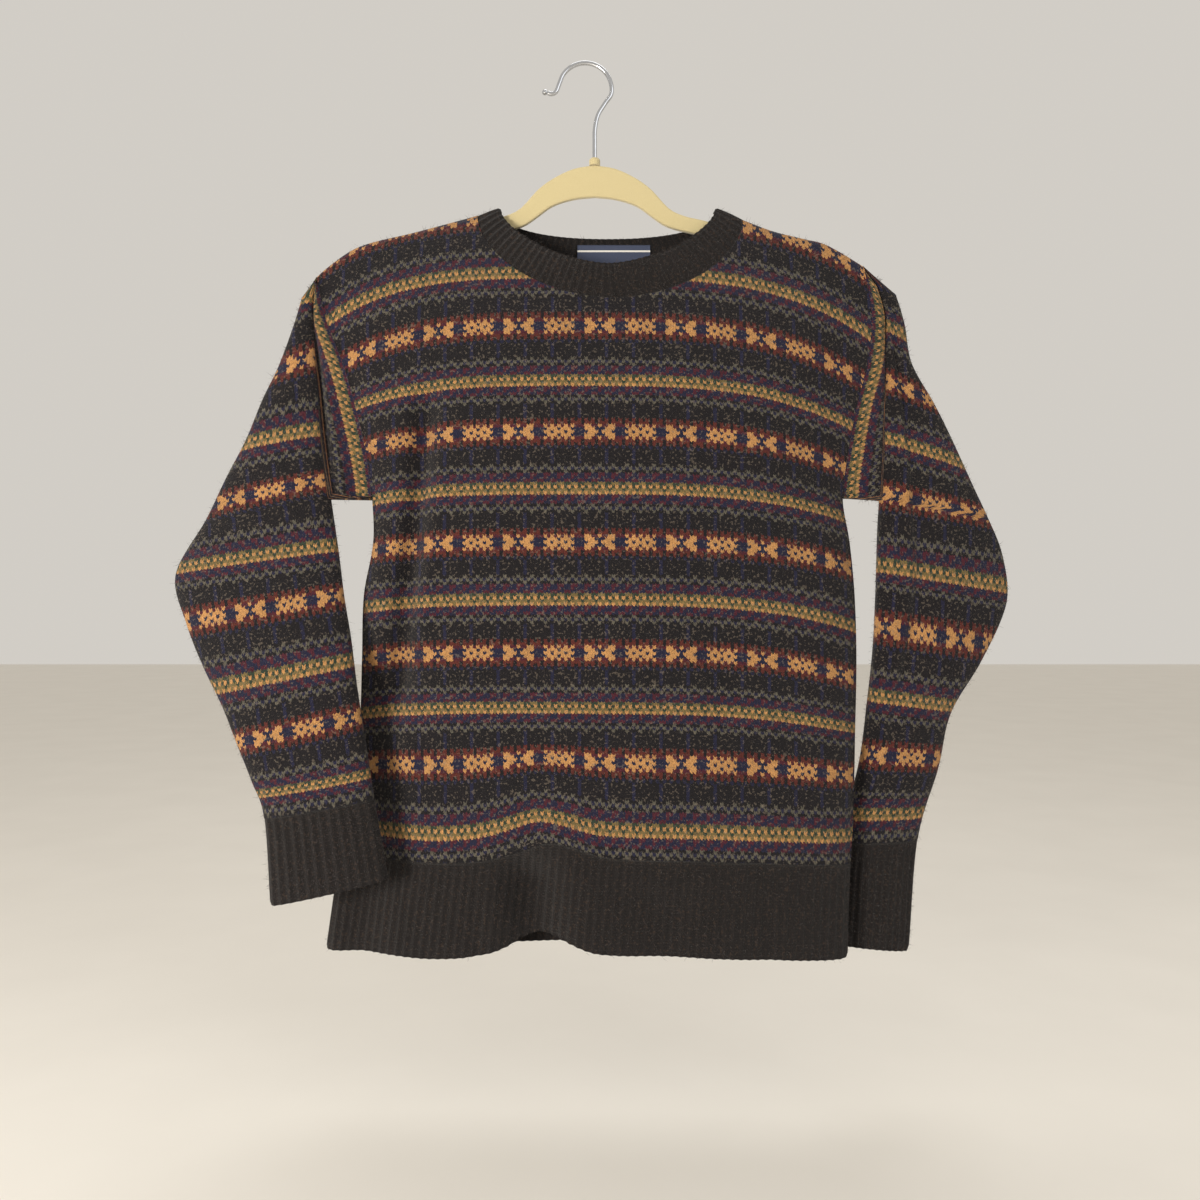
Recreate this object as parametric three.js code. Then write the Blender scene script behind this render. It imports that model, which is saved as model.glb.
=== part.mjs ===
// A banded crew-neck sweater hanging on a slim flocked hanger, in millimetres.
// +Z is up, the front faces -Y, and the origin is the inner crown of the wire hook.
// Heights are given as a drop: the distance below that crown.
import * as THREE from "three";

// ---- driving dimensions ----

const wall = 3; // knitted, brushed cloth
const seamGap = 0.3;
const ribHeight = 88; // hem rib

const hanger = {
  centreX: 9,
  halfSpan: 217,
  thickness: 6,
  edgeRound: 1.5,
  armSlope: 0.248,
  armHeight: 14,
};
const hook = { wireRadius: 2.1, bowRadius: 25, sides: 10, steps: 46, tipRadius: 2.7 };
const collar = { radius: 5.2, rimRadius: 4.2, height: 6.5, topDrop: 88.5 };

const capHalf = 7.3; // the cloth folded over the hanger's arm, half its thickness
const capHeight = 7; // and how far down that fold is rounded
const drapeFall = 45; // how fast the panels swing out below the shoulders

// The shoulder line and its slant past the hanger's tips.
const shoulderLine = [
  { x: -252, drop: 200 },
  { x: -242, drop: 191 },
  { x: -221, drop: 176 },
  { x: -203, drop: 168.5 },
  { x: -161, drop: 158.5 },
  { x: -101, drop: 142.5 },
  { x: 148, drop: 146.5 },
  { x: 176, drop: 157 },
  { x: 206, drop: 164.5 },
  { x: 223, drop: 168.5 },
  { x: 240, drop: 177 },
  { x: 261, drop: 190 },
];
const neck = { left: -101, right: 148 };
const underarmDrop = 409;

// Down the body: the armhole or side seam on each side, its place front to back, half the
// armhole's gape, how far each panel bows out, and how boxy the bow is (1 is a gentle arch).
const bodyLevels = [
  { drop: 190, left: -254, right: 261, leftY: 0, rightY: 0, gape: 7.3, front: 30, back: 9, boxy: 1.05 },
  { drop: 240, left: -243, right: 268, leftY: 0, rightY: 0, gape: 8.5, front: 38, back: 10, boxy: 1.05 },
  { drop: 285, left: -226, right: 264, leftY: 0, rightY: 0, gape: 8.5, front: 42, back: 11, boxy: 1.1 },
  { drop: 320, left: -216, right: 255, leftY: 0, rightY: 0, gape: 7.5, front: 43, back: 12, boxy: 1.15 },
  { drop: 365, left: -206, right: 247, leftY: 0, rightY: 0, gape: 5, front: 43, back: 12, boxy: 1.3 },
  { drop: 409, left: -201, right: 243, leftY: 0, rightY: 0, gape: 0.15, front: 44, back: 13, boxy: 1.5 },
  { drop: 450, left: -200, right: 249, leftY: 0, rightY: -2, gape: 0.15, front: 44, back: 14, boxy: 1.8 },
  { drop: 500, left: -209, right: 253, leftY: 1, rightY: -5, gape: 0.15, front: 43, back: 15, boxy: 1.9 },
  { drop: 560, left: -211, right: 254, leftY: 2, rightY: -8, gape: 0.15, front: 41, back: 16, boxy: 2 },
  { drop: 630, left: -214, right: 252, leftY: 3, rightY: -11, gape: 0.15, front: 38, back: 17, boxy: 2 },
  { drop: 700, left: -225, right: 250, leftY: 4, rightY: -13, gape: 0.15, front: 36, back: 18, boxy: 2 },
  { drop: 770, left: -236, right: 246, leftY: 4, rightY: -14, gape: 0.15, front: 36, back: 18, boxy: 2 },
  { drop: 840, left: -246, right: 244, leftY: 4, rightY: -14, gape: 0.15, front: 36, back: 18, boxy: 2 },
];

// Troughs that run down a panel: from top to end, how wide and how deep. A ridge is negative.
const frontFolds = [
  { topX: -146, topDrop: 322, endX: -175, endDrop: 600, width: 13, depth: 19 },
  { topX: -196, topDrop: 560, endX: -212, endDrop: 860, width: 26, depth: 11 },
  { topX: -52, topDrop: 745, endX: -40, endDrop: 870, width: 25, depth: 25 },
  { topX: 232, topDrop: 275, endX: 222, endDrop: 400, width: 13, depth: 4 },
  { topX: 62, topDrop: 770, endX: 74, endDrop: 870, width: 30, depth: 5 },
];
const backFolds = [
  { topX: -120, topDrop: 360, endX: -150, endDrop: 640, width: 20, depth: 7 },
  { topX: 130, topDrop: 330, endX: 165, endDrop: 600, width: 20, depth: 6 },
  { topX: 30, topDrop: 690, endX: 22, endDrop: 870, width: 26, depth: 8 },
];
const foldFade = 45; // length over which a trough runs out

// The hem's lower edge, lifted where the deep trough reaches it.
const frontHem = [
  { x: -246, drop: 834 },
  { x: -180, drop: 832 },
  { x: -138, drop: 833 },
  { x: -100, drop: 830 },
  { x: -72, drop: 823 },
  { x: -43, drop: 813 },
  { x: -20, drop: 817 },
  { x: 14, drop: 826 },
  { x: 105, drop: 829 },
  { x: 180, drop: 832 },
  { x: 244, drop: 836 },
];
const backHem = [
  { x: -246, drop: 834 },
  { x: -90, drop: 831 },
  { x: 26, drop: 827 },
  { x: 130, drop: 831 },
  { x: 244, drop: 836 },
];

const frontPanel = {
  facing: -1,
  neckDepth: 84,
  neckRoundness: 1.85,
  shoulderColumns: 8,
  lowerRows: 10,
  folds: frontFolds,
  hem: frontHem,
};
const backPanel = {
  facing: 1,
  neckDepth: 43,
  neckRoundness: 2.2,
  shoulderColumns: 5,
  lowerRows: 6,
  folds: backFolds,
  hem: backHem,
};
// Where the columns meet the neck, as turns from one shoulder past the centre to the other.
const halfNeckTurns = [0, 2.3, 6.3, 13, 24, 37, 52, 70];
const neckTurns = [...halfNeckTurns, 90, ...halfNeckTurns.map((turn) => 180 - turn).reverse()];
const firstRows = [0, 2.5, capHeight]; // the rows that round over the shoulder
const armholeRows = 6; // from there to the underarm
const hemRows = 3;

// Down each sleeve: its outer and inner edge, where its middle lies front to back, half its
// depth, where the bottom of the groove beside the armhole strip lies, and the lapped fold.
const leftSleeve = {
  side: -1,
  closesAt: 6,
  cuffAt: 13,
  stations: [
    { at: 0, outX: -266, outDrop: 218, inX: -254, inDrop: 216, y: 0, half: 8, groove: -7, lap: 0 },
    { at: 1, outX: -274, outDrop: 246, inX: -255, inDrop: 239, y: -1, half: 9, groove: -6, lap: 0 },
    { at: 2, outX: -288, outDrop: 285, inX: -253, inDrop: 270, y: -2, half: 11, groove: -1, lap: 0 },
    { at: 3, outX: -303, outDrop: 317, inX: -250, inDrop: 303, y: -3, half: 13, groove: 0, lap: 0 },
    { at: 4, outX: -318, outDrop: 355, inX: -247, inDrop: 341, y: -5, half: 14, groove: -1, lap: 0 },
    { at: 5, outX: -336, outDrop: 392, inX: -243, inDrop: 374, y: -8, half: 15, groove: -4, lap: 0 },
    { at: 6, outX: -353, outDrop: 430, inX: -238, inDrop: 404, y: -11, half: 16, groove: -7, lap: 0 },
    { at: 7, outX: -378, outDrop: 481, inX: -228, inDrop: 460, y: -19, half: 18, groove: 0, lap: 0 },
    { at: 8, outX: -365, outDrop: 526, inX: -221, inDrop: 501, y: -27, half: 19, groove: 0, lap: 0 },
    { at: 9, outX: -347, outDrop: 565, inX: -213, inDrop: 540, y: -34, half: 19, groove: 0, lap: 0 },
    { at: 10, outX: -327, outDrop: 602, inX: -207, inDrop: 577, y: -40, half: 18, groove: 0, lap: 0 },
    { at: 11, outX: -313, outDrop: 633, inX: -201, inDrop: 609, y: -45, half: 17, groove: 0, lap: 0 },
    { at: 12, outX: -298, outDrop: 667, inX: -194, inDrop: 647, y: -49, half: 16, groove: 0, lap: 0 },
    { at: 13, outX: -286, outDrop: 699, inX: -188, inDrop: 682, y: -52, half: 15, groove: 0, lap: 0 },
    { at: 14, outX: -280, outDrop: 777, inX: -175, inDrop: 753, y: -54, half: 14, groove: 0, lap: 0 },
  ],
};
const rightSleeve = {
  side: 1,
  closesAt: 6,
  cuffAt: 13,
  stations: [
    { at: 0, outX: 292, outDrop: 215, inX: 274, inDrop: 210, y: 0, half: 8, groove: -7, lap: 0 },
    { at: 1, outX: 301, outDrop: 245, inX: 281, inDrop: 236, y: 0, half: 9, groove: -7, lap: 1 },
    { at: 2, outX: 308, outDrop: 282, inX: 282, inDrop: 268, y: 0, half: 11, groove: -6, lap: 3 },
    { at: 3, outX: 330, outDrop: 320, inX: 282, inDrop: 300, y: 1, half: 13, groove: -6, lap: 5 },
    { at: 4, outX: 347, outDrop: 354, inX: 281, inDrop: 334, y: 1, half: 14, groove: -6, lap: 6 },
    { at: 5, outX: 366, outDrop: 396, inX: 280, inDrop: 370, y: 1, half: 15, groove: -7, lap: 6 },
    { at: 6, outX: 380, outDrop: 426, inX: 278, inDrop: 406, y: 1, half: 16, groove: -8, lap: 7 },
    { at: 7, outX: 393, outDrop: 458, inX: 276, inDrop: 440, y: 1, half: 17, groove: 0, lap: 7 },
    { at: 8, outX: 399, outDrop: 495, inX: 275, inDrop: 475, y: 1, half: 17, groove: 0, lap: 7 },
    { at: 9, outX: 393, outDrop: 523, inX: 274, inDrop: 505, y: 1, half: 17, groove: 0, lap: 7 },
    { at: 10, outX: 373, outDrop: 565, inX: 272, inDrop: 550, y: 2, half: 17, groove: 0, lap: 6 },
    { at: 11, outX: 346, outDrop: 612, inX: 267, inDrop: 602, y: 4, half: 16, groove: 0, lap: 4 },
    { at: 12, outX: 335, outDrop: 664, inX: 260, inDrop: 660, y: 7, half: 15, groove: 0, lap: 2 },
    { at: 13, outX: 317, outDrop: 732, inX: 243, inDrop: 735, y: 12, half: 13, groove: 0, lap: 0 },
    { at: 14, outX: 309, outDrop: 839, inX: 236, inDrop: 832, y: 14, half: 13, groove: 0, lap: 0 },
  ],
};
const tubeTurns = [17, 28, 42, 56, 66, 85, 106, 128, 152, 180, 206, 233, 263, 297, 330];
const stripShares = [0, 0.45, 0.78, 0.93]; // how far over the strip each of its columns lies
const stripRidge = 2.5; // the strip's outer edge stands this far proud
const tubeBoxiness = 0.8;
const closingStep = 0.14; // how soon below the underarm the sleeve is a closed tube
const cuffRows = 2;

// The neckband's upper edge, from one shoulder round the front and back to it.
const neckbandEdge = {
  left: -80,
  right: 123,
  shoulderDrop: 135,
  shoulderY: 6.5,
  frontDepth: 62,
  frontY: 35,
  frontRoundness: 1.6,
  backDepth: 27,
  backY: 8,
  backRoundness: 2.2,
  rows: 3,
  swell: 1.5,
};
const neckLabel = { width: 69, height: 25, thickness: 0.8, centreX: 27, topDrop: 168.5, columns: 8, rows: 2 };

// The hanger's outline on one side of its middle, before the straight arm.
const hangerShoulder = [
  { out: 0, top: 95, bottom: 124.8 },
  { out: 20, top: 98.5, bottom: 127 },
  { out: 40, top: 108, bottom: 133.5 },
  { out: 54, top: 118.5, bottom: 143.5 },
  { out: 64, top: 129.8, bottom: 150.5 },
  { out: 72, top: 137.3, bottom: 154 },
  { out: 85, top: 143, bottom: 157.5 },
  { out: 99, top: 146.2, bottom: 160.5 },
];
const hangerSteps = 20; // along each curved edge

const colours = {
  body: 0x3a2b2a,
  rib: 0x221d1b,
  label: 0x2b3142,
  hanger: 0xcdbd8a,
  wire: 0xc9ccd0,
};

// ---- small helpers ----

const mix = (a, b, share) => a + (b - a) * share;
const clamp = (value, low, high) => Math.min(Math.max(value, low), high);

function smoothStep(value) {
  const t = clamp(value, 0, 1);
  return t * t * (3 - 2 * t);
}

// The value of a table's column at a place, on a smooth curve through its rows.
function read(table, by, place, column) {
  const last = table.length - 1;
  if (place <= table[0][by]) return table[0][column];
  if (place >= table[last][by]) return table[last][column];
  const i = table.findIndex((row) => row[by] > place) - 1;
  const slope = (k) => {
    const before = table[Math.max(k - 1, 0)];
    const after = table[Math.min(k + 1, last)];
    return (after[column] - before[column]) / (after[by] - before[by]);
  };
  const span = table[i + 1][by] - table[i][by];
  const t = (place - table[i][by]) / span;
  const bend = t * t * (3 - 2 * t);
  return (
    mix(table[i][column], table[i + 1][column], bend) +
    span * t * (1 - t) * ((1 - t) * slope(i) - t * slope(i + 1))
  );
}

// A rounded hollow: 0 at either end of its width, 1 in the middle.
function scoop(across, roundness) {
  const t = clamp(Math.abs(across), 0, 1);
  return Math.pow(1 - Math.pow(t, roundness), 1 / roundness);
}

// The same hollow by turns from its left end: how far across it, 0 to 1, and how deep.
function scoopTurn(turn, roundness) {
  const angle = THREE.MathUtils.degToRad(turn);
  const side = Math.sign(Math.cos(angle));
  const across = side * Math.pow(Math.abs(Math.cos(angle)), 2 / roundness);
  return { across: (1 - across) / 2, deep: Math.pow(Math.max(Math.sin(angle), 0), 2 / roundness) };
}

// How far a fold over the hanger has opened at a distance below its top, from 0 to 1.
function roundOver(below) {
  return Math.sqrt(1 - Math.pow(1 - clamp(below / capHeight, 0, 1), 2));
}

// ---- cloth walls ----

// A surface is a grid of points with their outward normals. Its rows run down and its columns
// across; past openRows the last column is the first one again, which closes a tube.
function makeSurface(points, { flip = false, openRows = points.length - 1 } = {}) {
  const columns = points[0].length;
  const same = (row, column) => (row >= openRows && column === columns - 1 && openRows < points.length - 1 ? 0 : column);
  const normals = points.map((row) => row.map(() => new THREE.Vector3()));
  for (let row = 0; row < points.length - 1; row += 1) {
    for (let column = 0; column < columns - 1; column += 1) {
      const corners = [
        [row, column],
        [row + 1, column],
        [row + 1, column + 1],
        [row, column + 1],
      ];
      const [a, b, c, d] = corners.map(([r, k]) => points[r][k]);
      const facing = new THREE.Vector3().crossVectors(c.clone().sub(a), d.clone().sub(b));
      facing.multiplyScalar(flip ? 1 : -1);
      for (const [r, k] of corners) normals[r][same(r, k)].add(facing.clone().negate());
    }
  }
  for (let row = 0; row < points.length; row += 1) {
    for (let column = 0; column < columns; column += 1) {
      const owner = normals[row][same(row, column)];
      if (same(row, column) === column) owner.normalize();
    }
    if (same(row, columns - 1) === 0) normals[row][columns - 1] = normals[row][0];
  }
  return { points, normals, flip, openRows };
}

// Rows first to last of a surface, with its first row drawn back from the seam above it.
function cutRows(surface, first, last) {
  const points = surface.points.slice(first, last + 1).map((row) => row.map((p) => p.clone()));
  if (first > 0) {
    points[0].forEach((p, k) => {
      const along = points[1][k].clone().sub(p);
      p.addScaledVector(along, seamGap / along.length());
    });
  }
  return {
    points,
    normals: surface.normals.slice(first, last + 1),
    flip: surface.flip,
    openRows: Math.max(surface.openRows - first, 0),
  };
}

// The closed solid of a surface: its outer face, an inner face one wall in, and its rims.
function clothWall(surface, thickness = wall) {
  const { points, normals, flip } = surface;
  const rows = points.length;
  const columns = points[0].length;
  const openRows = Math.min(surface.openRows, rows - 1);
  const isTube = surface.openRows < rows - 1;
  const positions = [];
  points.forEach((row) => row.forEach((p) => positions.push(p.x, p.y, p.z)));
  points.forEach((row, r) =>
    row.forEach((p, k) => {
      const inner = p.clone().addScaledVector(normals[r][k], -thickness);
      positions.push(inner.x, inner.y, inner.z);
    }),
  );
  const outer = (r, k) => r * columns + (isTube && r >= surface.openRows && k === columns - 1 ? 0 : k);
  const inner = (r, k) => rows * columns + outer(r, k);
  const index = [];
  const quad = (a, b, c, d) => {
    if (flip) index.push(a, c, b, a, d, c);
    else index.push(a, b, c, a, c, d);
  };
  for (let r = 0; r < rows - 1; r += 1) {
    for (let k = 0; k < columns - 1; k += 1) {
      quad(outer(r, k), outer(r + 1, k), outer(r + 1, k + 1), outer(r, k + 1));
      quad(inner(r, k), inner(r, k + 1), inner(r + 1, k + 1), inner(r + 1, k));
    }
  }
  for (let k = 0; k < columns - 1; k += 1) {
    const end = rows - 1;
    quad(outer(0, k), outer(0, k + 1), inner(0, k + 1), inner(0, k));
    quad(outer(end, k), inner(end, k), inner(end, k + 1), outer(end, k + 1));
  }
  for (let r = 0; r < openRows; r += 1) {
    const edge = columns - 1;
    quad(outer(r + 1, 0), outer(r, 0), inner(r, 0), inner(r + 1, 0));
    quad(outer(r, edge), outer(r + 1, edge), inner(r + 1, edge), inner(r, edge));
  }
  const geometry = new THREE.BufferGeometry();
  geometry.setAttribute("position", new THREE.Float32BufferAttribute(positions, 3));
  geometry.setIndex(index);
  geometry.computeVertexNormals();
  return geometry;
}

// ---- front and back ----

// How far the shoulder line lies below the hook; across the neck it runs straight.
function ridgeDrop(x) {
  if (x > neck.left && x < neck.right) {
    const share = (x - neck.left) / (neck.right - neck.left);
    return mix(read(shoulderLine, "x", neck.left, "drop"), read(shoulderLine, "x", neck.right, "drop"), share);
  }
  const half = shoulderLine.filter((row) => (x <= neck.left ? row.x <= neck.left : row.x >= neck.right));
  return read(half, "x", x, "drop");
}

function foldDepth(folds, x, drop) {
  let depth = 0;
  for (const fold of folds) {
    const share = clamp((drop - fold.topDrop) / (fold.endDrop - fold.topDrop), 0, 1);
    const away = (x - mix(fold.topX, fold.endX, share)) / fold.width;
    const begin = smoothStep((drop - fold.topDrop) / foldFade + 0.5);
    const end = smoothStep((fold.endDrop - drop) / foldFade + 0.5);
    depth += fold.depth * Math.exp(-away * away) * begin * end;
  }
  return depth;
}

// Where the outside of a panel lies front to back, at a share of the way across.
function panelY(panel, across, x, drop) {
  const level = (column) => read(bodyLevels, "drop", drop, column);
  const below = Math.max(drop - ridgeDrop(x), 0);
  const bow = (panel.facing < 0 ? level("front") : level("back")) - level("gape");
  const arch = Math.pow(1 - Math.pow(Math.abs(2 * across - 1), 3), 1 / level("boxy"));
  const swing = 1 - Math.exp(-below / drapeFall);
  const fold = foldDepth(panel.folds, x, drop) * Math.min(1, arch * 1.6);
  const stand = Math.max(level("gape") * roundOver(below), seamGap / 2) + bow * arch * swing - fold;
  return mix(level("leftY"), level("rightY"), across) + panel.facing * stand;
}

// Where each column starts along a panel's upper edge.
function columnStarts(panel) {
  const left = shoulderLine[0].x;
  const right = shoulderLine[shoulderLine.length - 1].x;
  const starts = [];
  for (let i = 0; i < panel.shoulderColumns; i += 1) {
    const x = mix(left, neck.left, i / panel.shoulderColumns);
    starts.push({ x, drop: ridgeDrop(x), inNeck: false });
  }
  for (const turn of neckTurns) {
    const { across, deep } = scoopTurn(turn, panel.neckRoundness);
    const x = mix(neck.left, neck.right, across);
    starts.push({ x, drop: ridgeDrop(x) + panel.neckDepth * deep, inNeck: turn > 0 && turn < 180 });
  }
  for (let i = 1; i <= panel.shoulderColumns; i += 1) {
    const x = mix(neck.right, right, i / panel.shoulderColumns);
    starts.push({ x, drop: ridgeDrop(x), inNeck: false });
  }
  return starts;
}

// One column of a panel: from its start it spreads until the columns are even at the underarm.
function panelColumn(panel, start, even) {
  const leftAt = (drop) => read(bodyLevels, "drop", drop, "left");
  const rightAt = (drop) => read(bodyLevels, "drop", drop, "right");
  const width = rightAt(start.drop) - leftAt(start.drop);
  const atTop = even === 0 || even === 1 ? even : (start.x - leftAt(start.drop)) / width;
  const column = [];
  const addPoint = (drop, spreadShare) => {
    const across = mix(atTop, even, smoothStep(spreadShare));
    const x = mix(leftAt(drop), rightAt(drop), across);
    column.push(new THREE.Vector3(x, panelY(panel, across, x, drop), -drop));
  };
  for (const down of firstRows) addPoint(start.drop + down, 0);
  for (let i = 1; i <= armholeRows; i += 1) {
    const share = i / armholeRows;
    addPoint(mix(start.drop + capHeight, underarmDrop, share), share);
  }
  const hemDrop = read(panel.hem, "x", mix(leftAt(underarmDrop * 2), rightAt(underarmDrop * 2), even), "drop");
  for (let i = 1; i <= panel.lowerRows; i += 1) {
    addPoint(mix(underarmDrop, hemDrop - ribHeight, i / panel.lowerRows), 1);
  }
  for (let i = 1; i <= hemRows; i += 1) {
    addPoint(mix(hemDrop - ribHeight, hemDrop, i / hemRows), 1);
  }
  return column;
}

function panelSurface(panel) {
  const starts = columnStarts(panel);
  const last = starts.length - 1;
  const columns = starts.map((start, i) => panelColumn(panel, start, i / last));
  const points = columns[0].map((_, r) => columns.map((column) => column[r]));
  const surface = makeSurface(points, { flip: panel.facing > 0 });
  const underarmRow = firstRows.length - 1 + armholeRows;
  for (let r = underarmRow; r < points.length; r += 1) {
    surface.normals[r][0] = new THREE.Vector3(-1, 0, 0);
    surface.normals[r][last] = new THREE.Vector3(1, 0, 0);
  }
  // The shoulder fold is cut straight down, so that front and back meet face to face there.
  starts.forEach((start, k) => {
    if (start.inNeck) return;
    const before = points[0][start.x < 0 ? Math.max(k - 1, 0) : k];
    const after = points[0][start.x < 0 ? Math.max(k, 1) : Math.min(k + 1, last)];
    const from = before === after ? points[0][k - 1] : before;
    const slant = (after.z - from.z) / (after.x - from.x);
    surface.normals[0][k] = new THREE.Vector3(-slant, 0, 1).normalize();
  });
  surface.ribRow = underarmRow + panel.lowerRows;
  surface.underarmRow = underarmRow;
  return surface;
}

// ---- sleeves ----

// The armhole seam on one body panel, from the shoulder fold to the underarm, and its normals.
function armholeSeam(surface, side) {
  const column = side < 0 ? 0 : surface.points[0].length - 1;
  const top = firstRows.length - 1;
  const rows = [];
  for (let r = 0; r <= surface.underarmRow; r += 1) {
    const point = surface.points[r][column].clone();
    point.x += side * seamGap * 2;
    rows.push({ point, normal: surface.normals[r][column].clone() });
  }
  return { overShoulder: rows.slice(0, top + 1), down: rows.slice(top) };
}

// Evenly spaced places along a short run of points, with their normals.
function spread(run, count) {
  const lengths = [0];
  for (let i = 1; i < run.length; i += 1) {
    lengths.push(lengths[i - 1] + run[i].point.distanceTo(run[i - 1].point));
  }
  const total = lengths[lengths.length - 1];
  return Array.from({ length: count }, (_, i) => {
    const want = (total * i) / (count - 1);
    const k = clamp(lengths.findIndex((length) => length >= want - 1e-9), 1, run.length - 1);
    const share = (want - lengths[k - 1]) / (lengths[k] - lengths[k - 1]);
    return {
      point: run[k - 1].point.clone().lerp(run[k].point, share),
      normal: run[k - 1].normal.clone().lerp(run[k].normal, share).normalize(),
    };
  });
}

// One place on the tube of a sleeve: turn 0 is its inner edge, 180 its outer edge, front first.
function tubePoint(sleeve, at, turn) {
  const station = (column) => read(sleeve.stations, "at", at, column);
  const angle = THREE.MathUtils.degToRad(turn);
  const across = (1 - Math.cos(angle)) / 2;
  const depth = Math.pow(Math.abs(Math.sin(angle)), tubeBoxiness) * Math.sign(Math.sin(angle));
  const lapped = turn < 180 ? station("lap") * smoothStep((across - 0.22) / 0.08) * scoop(across, 4) : 0;
  return new THREE.Vector3(
    mix(station("inX"), station("outX"), across),
    station("y") - station("half") * depth + lapped,
    -mix(station("inDrop"), station("outDrop"), across),
  );
}

function openRow(sleeve, at, frontSeam, backSeam) {
  const station = (column) => read(sleeve.stations, "at", at, column);
  const tube = tubeTurns.map((turn) => tubePoint(sleeve, at, turn));
  const flatBack = station("y") + station("half");
  tubeTurns.forEach((turn, i) => {
    if (turn > 270) tube[i].y = flatBack;
  });
  const inner = new THREE.Vector3(station("inX"), 0, -station("inDrop"));
  const front = stripShares.map((share, i) => {
    const p = frontSeam.clone().lerp(inner, share);
    if (i === 1) p.y = frontSeam.y - stripRidge * 0.7;
    if (i === 2) p.y = mix(frontSeam.y, tube[1].y, 0.35) - stripRidge;
    if (i === 3) p.y = station("groove");
    return p;
  });
  const back = stripShares.map((share) => {
    const p = backSeam.clone().lerp(inner, share);
    p.y = mix(backSeam.y, flatBack, share);
    return p;
  });
  return [...front, ...tube, ...back.reverse()];
}

function closedRow(sleeve, at) {
  const front = [0, 4, 8, 12].map((turn) => tubePoint(sleeve, at, turn));
  const tube = tubeTurns.map((turn) => tubePoint(sleeve, at, turn));
  const back = [345, 350, 355].map((turn) => tubePoint(sleeve, at, turn));
  return [...front, ...tube, ...back, front[0].clone()];
}

function sleeveSurface(sleeve, front, back) {
  const frontSeam = armholeSeam(front, sleeve.side);
  const backSeam = armholeSeam(back, sleeve.side);
  const columns = stripShares.length * 2 + tubeTurns.length;
  const overShoulder = spread([...frontSeam.overShoulder.reverse(), ...backSeam.overShoulder], columns);
  const points = [overShoulder.map((place) => place.point)];
  for (let at = 1; at <= sleeve.closesAt; at += 1) {
    points.push(openRow(sleeve, at, frontSeam.down[at].point, backSeam.down[at].point));
  }
  const closing = points[sleeve.closesAt];
  closing[0].y = 0;
  closing[columns - 1].copy(closing[0]);
  points.push(closedRow(sleeve, sleeve.closesAt + closingStep));
  for (let at = sleeve.closesAt + 1; at <= sleeve.cuffAt; at += 0.5) points.push(closedRow(sleeve, at));
  const cuffRow = points.length - 1;
  for (let i = 1; i <= cuffRows; i += 1) points.push(closedRow(sleeve, sleeve.cuffAt + i / cuffRows));
  const surface = makeSurface(points, { flip: sleeve.side < 0, openRows: sleeve.closesAt });
  surface.normals[0] = overShoulder.map((place) => place.normal);
  for (let r = 1; r < sleeve.closesAt; r += 1) {
    surface.normals[r][0] = frontSeam.down[r].normal;
    surface.normals[r][columns - 1] = backSeam.down[r].normal;
  }
  surface.cuffRow = cuffRow;
  return surface;
}

// ---- neckband and label ----

function edgePoint(turn, isFront) {
  const edge = neckbandEdge;
  const { across, deep } = scoopTurn(turn, isFront ? edge.frontRoundness : edge.backRoundness);
  const below = (isFront ? edge.frontDepth : edge.backDepth) * deep;
  const reach = isFront ? edge.frontY : edge.backY;
  const stand = edge.shoulderY * roundOver(below) + (reach - edge.shoulderY) * deep;
  return new THREE.Vector3(
    mix(edge.left, edge.right, across),
    isFront ? -stand : stand,
    -(edge.shoulderDrop + below),
  );
}

// The ring of seam places round the neck, taken from the panels' own upper edges.
function neckSeam(front, back) {
  const placesOf = (surface, panel, isFront) =>
    neckTurns.map((turn, i) => ({
      turn,
      isFront,
      point: surface.points[0][panel.shoulderColumns + i],
      normal: surface.normals[0][panel.shoulderColumns + i],
    }));
  const frontPlaces = placesOf(front, frontPanel, true);
  const backPlaces = placesOf(back, backPanel, false).reverse();
  return [...frontPlaces.slice(0, -1), ...backPlaces.slice(0, -1)];
}

function neckbandSurface(front, back) {
  const ring = neckSeam(front, back);
  const points = Array.from({ length: neckbandEdge.rows + 1 }, () => []);
  const seamNormals = [];
  for (const place of ring) {
    const edge = edgePoint(place.turn, place.isFront);
    const seam = place.point.clone();
    if (Math.abs(seam.y) < 1) seam.y = 0;
    const upward = edge.clone().sub(seam).normalize();
    seam.addScaledVector(upward, seamGap * 3);
    const outward = new THREE.Vector3(0, place.isFront ? -1 : 1, 0);
    for (let r = 0; r <= neckbandEdge.rows; r += 1) {
      const share = r / neckbandEdge.rows;
      const swell = neckbandEdge.swell * Math.sin(Math.PI * share) * scoopTurn(place.turn, 2).deep;
      points[r].push(edge.clone().lerp(seam, share).addScaledVector(outward, swell));
    }
    seamNormals.push(place.normal.clone());
  }
  points.forEach((row) => row.push(row[0].clone()));
  seamNormals.push(seamNormals[0]);
  const surface = makeSurface(points, { openRows: 0 });
  surface.normals[neckbandEdge.rows] = seamNormals;
  return surface;
}

// The label lies on the inside of the back neckband.
function labelSurface() {
  const points = [];
  for (let r = 0; r <= neckLabel.rows; r += 1) {
    const row = [];
    for (let k = 0; k <= neckLabel.columns; k += 1) {
      const x = neckLabel.centreX + neckLabel.width * (k / neckLabel.columns - 0.5);
      const y = neckbandEdge.backY - wall - 2 * seamGap - neckLabel.thickness;
      row.push(new THREE.Vector3(x, y, -(neckLabel.topDrop + (neckLabel.height * r) / neckLabel.rows)));
    }
    points.push(row);
  }
  return makeSurface(points);
}

// ---- hanger ----

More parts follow.
